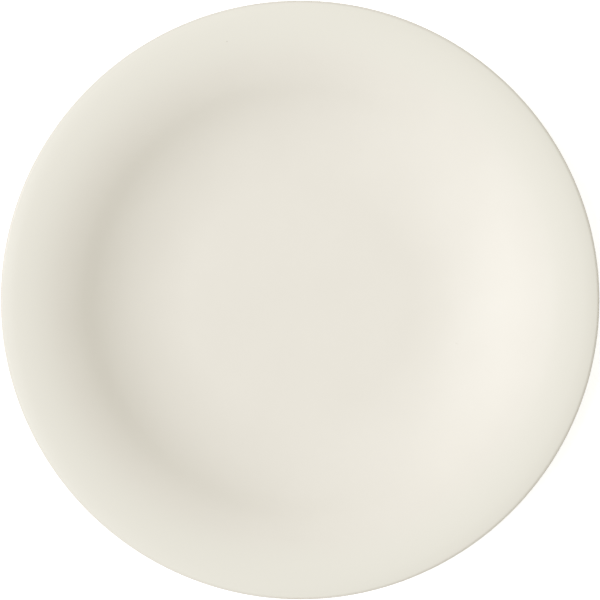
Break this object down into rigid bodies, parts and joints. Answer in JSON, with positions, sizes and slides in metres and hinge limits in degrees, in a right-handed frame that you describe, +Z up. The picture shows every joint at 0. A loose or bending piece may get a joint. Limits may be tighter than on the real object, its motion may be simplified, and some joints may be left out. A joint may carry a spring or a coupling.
{
  "type": "coupe dinner plate",
  "caption": "Round coupe dinner plate with a flat floor, a curved wall, a softly rolled rim and a ring foot, in off-white glaze; holds a served meal.",
  "frame": {"origin": "on the table, at the middle of the foot ring", "axes": "+Z up along the plate's axis; the plate is round, so X and Y are free"},
  "size_m": [0.27, 0.27, 0.0273],
  "materials": {
    "clay": "matte",
    "glaze": "gloss"
  },
  "bodies": {
    "root": {"ceramic_body": "clay", "glaze_coat": "glaze", "base_glaze": "glaze"}
  },
  "joints": []
}
